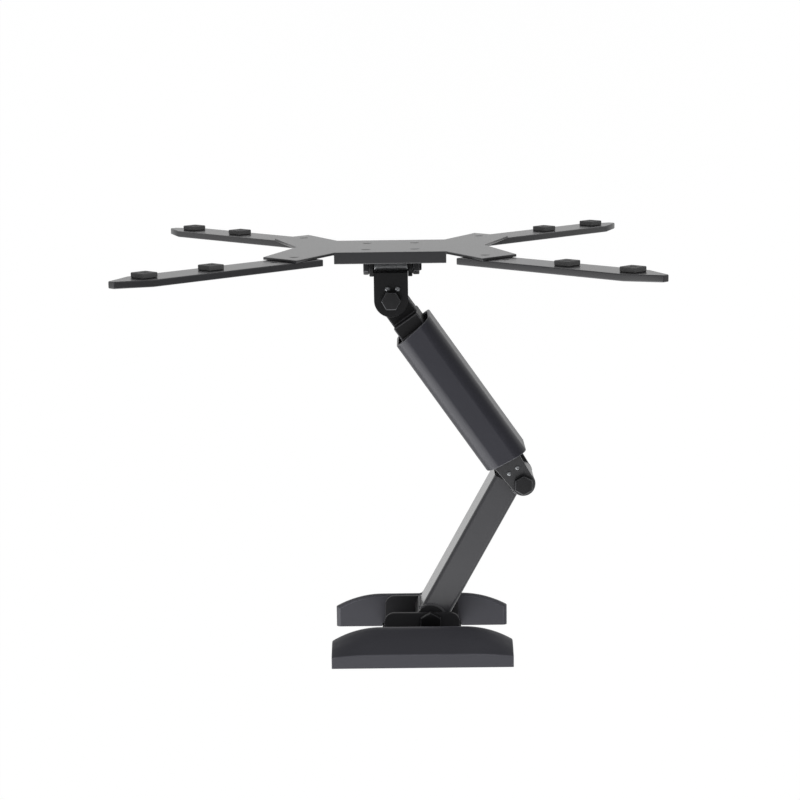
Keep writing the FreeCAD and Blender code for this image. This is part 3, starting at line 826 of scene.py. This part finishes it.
@dataclass
class Head(Assembly):
    """Fork that swivels on the arm and carries the tilt barrel; its bolt's turn is in degrees."""

    body: str = "head"
    block_round: float = 0.5
    barrel_round: float = 0.7
    swivel: HexBolt = HexBolt(across=16.0, diameter=10.0, face=21.0)
    swivel_turn: float = 30.0
    screw_spread: float = 9.0
    screw_aside: float = -1.5
    screw_ahead: float = 10.6
    screw_width: float = 5.0
    screw_height: float = 1.6

    def build(self) -> None:
        """Build and dress the head."""
        self.soften("head_block", self.block_round, CAST_COAT, "black_steel")
        self.soften("tilt_barrel", self.barrel_round, ZINC_PLATE, "zinc")
        place = turned(hinge("head_swivel"), self.swivel_turn)
        self.fasten("swivel_fastener", place, self.swivel, "swivel_bolt")
        self.build_screws()

    def build_screws(self) -> None:
        """Set the bright screws that clamp the tilt barrel in the block, above and below."""
        bm = bmesh.new()
        middle = hinge("head_swivel") / MM
        for level in (-1, 1):
            for side in (-1, 1):
                spot = middle + Vector((side * self.screw_spread / 2 + self.screw_aside,
                                        -self.screw_ahead, level * self.swivel.face))
                add_socket_screw(bm, self.screw_width, self.screw_height,
                                 facing(spot, Vector((0, 0, level))))
        self.keep("clamp_screws", bm, ZINC_SCREW, "zinc")


@dataclass
class TvPlate(Assembly):
    """Tilting plate with its four extension bars."""

    body: str = "tv_plate"
    plate_round: float = 0.6
    bracket_round: float = 0.7
    bar_round: float = 0.9
    pad_round: float = 0.8
    tilt: HexBolt = HexBolt(across=13.0, diameter=8.0, face=19.7, head=5.5, nut=6.5)
    plate_back: float = 373.878
    plate_thickness: float = 2.5
    bar_wall: float = 2.5
    base_thickness: float = 3.0
    bar_bolt: float = 118.0
    base_bolts: tuple[float, float] = (22.0, 27.0)
    dome_width: float = 9.0
    dome_height: float = 0.5
    nut_across: float = 10.0
    nut_thickness: float = 4.6
    nut_chamfer: float = 0.5
    stud_share: float = 0.55
    stud_proud: float = 1.2

    def build(self) -> None:
        """Build and dress the plate and its bars."""
        self.soften("centre_plate", self.plate_round, POWDER_COAT, "black_steel")
        self.soften("tilt_bracket", self.bracket_round, CAST_COAT, "black_steel")
        for level in ("upper", "lower"):
            for side in ("left", "right"):
                self.soften(f"{level}_{side}_bar", self.bar_round, POWDER_COAT, "black_steel")
                self.soften(f"{level}_{side}_pads", self.pad_round, RUBBER, "pad_rubber")
        self.build_bolts()
        along_x = Matrix.Rotation(math.pi / 2, 4, "Y")
        self.fasten("tilt_fastener", Matrix.Translation(hinge("tilt")) @ along_x, self.tilt, "tilt_bolt")

    def build_bolts(self) -> None:
        """Set the coach bolts that hold the bars and the tilt bracket to the plate."""
        heads = bmesh.new()
        nuts = bmesh.new()
        middle = hinge("tilt").x / MM
        front = -self.plate_back - self.plate_thickness
        reach = self.bar_bolt / math.sqrt(2)
        spots = []
        for side in (-1, 1):
            for level in (-1, 1):
                spots.append((side * reach, level * reach, self.bar_wall))
                spots.append((side * self.base_bolts[0], level * self.base_bolts[1],
                              self.base_thickness))
        for across, height, grip in spots:
            add_dome(heads, self.dome_width, self.dome_height,
                     facing(Vector((middle + across, front, height)), Vector((0, -1, 0))))
            place = facing(Vector((middle + across, -self.plate_back + grip, height)),
                           Vector((0, 1, 0)))
            add_hexagon(nuts, self.nut_across, 0.0, self.nut_thickness, place, self.nut_chamfer)
            add_dome(nuts, self.nut_across * self.stud_share, self.nut_thickness + self.stud_proud,
                     place)
        self.keep("plate_bolt_heads", heads, POWDER_COAT, "black_steel")
        self.keep("plate_bolt_nuts", nuts, BLACK_OXIDE, "dark_bolt")


@dataclass
class Studio:
    """Pale floor, soft light from above and both sides, and the camera of the photograph.

    Its lengths are in metres and its angles in degrees. A side is a direction's share along
    screen_way and the light that is mirrored from there; a lamp is its place and its power.
    """

    floor_level: float = -0.75
    floor_span: float = 12.0
    floor_colour: str = "#f4f4f4"
    fill: float = 0.4
    screen_way: tuple[float, float, float] = (0.35, 0.92, 0.18)
    screen_light: float = 4.8
    sides: tuple[tuple[float, float], ...] = ((-1.0, 0.1), (-0.4, 0.07), (0.25, 0.045),
                                              (0.4, 0.12), (0.78, 1.0))
    lamps: tuple[tuple[float, float, float, float], ...] = ((0.2, 1.0, 2.0, 25.0),
                                                            (-0.5, -1.5, 1.6, 9.0))
    lamp_span: float = 1.6
    lamp_aim: tuple[float, float, float] = (0.0, -0.2, 0.0)
    camera_place: tuple[float, float, float] = (0.0057, -0.5733, 1.8683)
    camera_turn: tuple[float, float, float] = (-10.324, 0.247, 179.272)
    lens_mm: float = 92.25
    sensor_mm: float = 36.0
    white_share: float = 0.9
    white: float = 1.04

    def build(self) -> None:
        """Build the stage and set the view."""
        scene = bpy.context.scene
        scene.view_settings.view_transform = "Standard"
        self.build_world(scene)
        self.build_floor()
        self.build_lamps()
        self.build_camera(scene)

    def either(self, tree: bpy.types.NodeTree, one: bpy.types.NodeSocket,
               other: bpy.types.NodeSocket) -> bpy.types.NodeSocket:
        """Add a node that is one where either of two ray tests is, and return its output."""
        return add_node(tree, "ShaderNodeMath", {"operation": "MAXIMUM"}, {0: one, 1: other}).outputs[0]

    def build_world(self, scene: bpy.types.Scene) -> None:
        """White where it is seen, a screen to one side where it is mirrored, a soft fill elsewhere.

        Args:
            scene: the scene that takes it.
        """
        world = bpy.data.worlds.new("studio")
        scene.world = world
        world.use_nodes = True
        tree = world.node_tree
        tree.nodes.clear()
        rays = add_node(tree, "ShaderNodeLightPath", {}, {})
        place = add_node(tree, "ShaderNodeTexCoord", {}, {})
        along = add_node(tree, "ShaderNodeVectorMath", {"operation": "DOT_PRODUCT", 1: self.screen_way},
                         {0: place.outputs["Generated"]})
        share = add_node(tree, "ShaderNodeMapRange", {"From Min": -1.0, "From Max": 1.0},
                         {"Value": along.outputs["Value"]})
        ramp = add_node(tree, "ShaderNodeValToRGB", {}, {"Fac": share.outputs["Result"]})
        stops = ramp.color_ramp.elements
        while len(stops) < len(self.sides):
            stops.new(1.0)
        for stop, (across, light) in zip(stops, self.sides):
            stop.position = (across + 1) / 2
            stop.color = (light, light, light, 1.0)
        fill = add_node(tree, "ShaderNodeBackground",
                        {"Color": linear(WHITE), "Strength": self.fill}, {})
        mirrored = add_node(tree, "ShaderNodeBackground", {"Strength": self.screen_light},
                            {"Color": ramp.outputs["Color"]})
        white = add_node(tree, "ShaderNodeBackground",
                         {"Color": linear(WHITE), "Strength": self.white}, {})
        soft = add_node(tree, "ShaderNodeMixShader", {},
                        {0: rays.outputs["Is Glossy Ray"], 1: fill.outputs[0], 2: mirrored.outputs[0]})
        seen = self.either(tree, rays.outputs["Is Camera Ray"], rays.outputs["Is Transmission Ray"])
        mixed = add_node(tree, "ShaderNodeMixShader", {},
                         {0: seen, 1: soft.outputs[0], 2: white.outputs[0]})
        add_node(tree, "ShaderNodeOutputWorld", {}, {"Surface": mixed.outputs[0]})

    def build_floor(self) -> None:
        """Lay a pale floor that stays white and keeps a faint shadow."""
        bm = bmesh.new()
        bmesh.ops.create_grid(bm, x_segments=1, y_segments=1, size=self.floor_span / 2,
                              matrix=Matrix.Translation((0, 0, self.floor_level)))
        mesh = bpy.data.meshes.new("floor")
        bm.to_mesh(mesh)
        bm.free()
        made = bpy.data.materials.new("pale_floor")
        made.use_nodes = True
        tree = made.node_tree
        tree.nodes.clear()
        rays = add_node(tree, "ShaderNodeLightPath", {}, {})
        mirrored = self.either(tree, rays.outputs["Is Glossy Ray"], rays.outputs["Is Transmission Ray"])
        seen = self.either(tree, rays.outputs["Is Camera Ray"], mirrored)
        matt = add_node(tree, "ShaderNodeBsdfDiffuse", {"Color": linear(self.floor_colour)}, {})
        white = add_node(tree, "ShaderNodeEmission",
                         {"Color": linear(WHITE), "Strength": self.white}, {})
        share = add_node(tree, "ShaderNodeMath", {"operation": "MULTIPLY", 1: self.white_share},
                         {0: seen})
        mixed = add_node(tree, "ShaderNodeMixShader", {},
                         {0: share.outputs[0], 1: matt.outputs[0], 2: white.outputs[0]})
        add_node(tree, "ShaderNodeOutputMaterial", {}, {"Surface": mixed.outputs[0]})
        mesh.materials.append(made)
        floor = bpy.data.objects.new("floor", mesh)
        bpy.context.scene.collection.objects.link(floor)

    def build_lamps(self) -> None:
        """Hang a large soft lamp on the wall's side and a weaker one on the room's side."""
        for number, (across, out, height, power) in enumerate(self.lamps):
            lamp = bpy.data.lights.new(f"softbox_{number}", "AREA")
            lamp.shape = "DISK"
            lamp.size = self.lamp_span
            lamp.energy = power
            held = bpy.data.objects.new(lamp.name, lamp)
            held.location = (across, out, height)
            aim = Vector(self.lamp_aim) - held.location
            held.rotation_euler = aim.to_track_quat("-Z", "Y").to_euler()
            held.visible_glossy = False
            bpy.context.scene.collection.objects.link(held)

    def build_camera(self, scene: bpy.types.Scene) -> None:
        """Set the camera where the photograph was taken from.

        Args:
            scene: the scene that takes it.
        """
        data = bpy.data.cameras.new("camera")
        data.lens = self.lens_mm
        data.sensor_width = self.sensor_mm
        camera = bpy.data.objects.new("camera", data)
        camera.location = self.camera_place
        camera.rotation_euler = [math.radians(angle) for angle in self.camera_turn]
        scene.collection.objects.link(camera)
        scene.camera = camera


def main() -> None:
    """Build the mount from the wall outwards, then the studio."""
    logging.basicConfig(level=logging.INFO, format="%(name)s %(message)s")
    for assembly in (WallFrame(), LowerArm(), UpperArm(), Head(), TvPlate()):
        assembly.build()
    Studio().build()


if __name__ == "__main__":
    main()
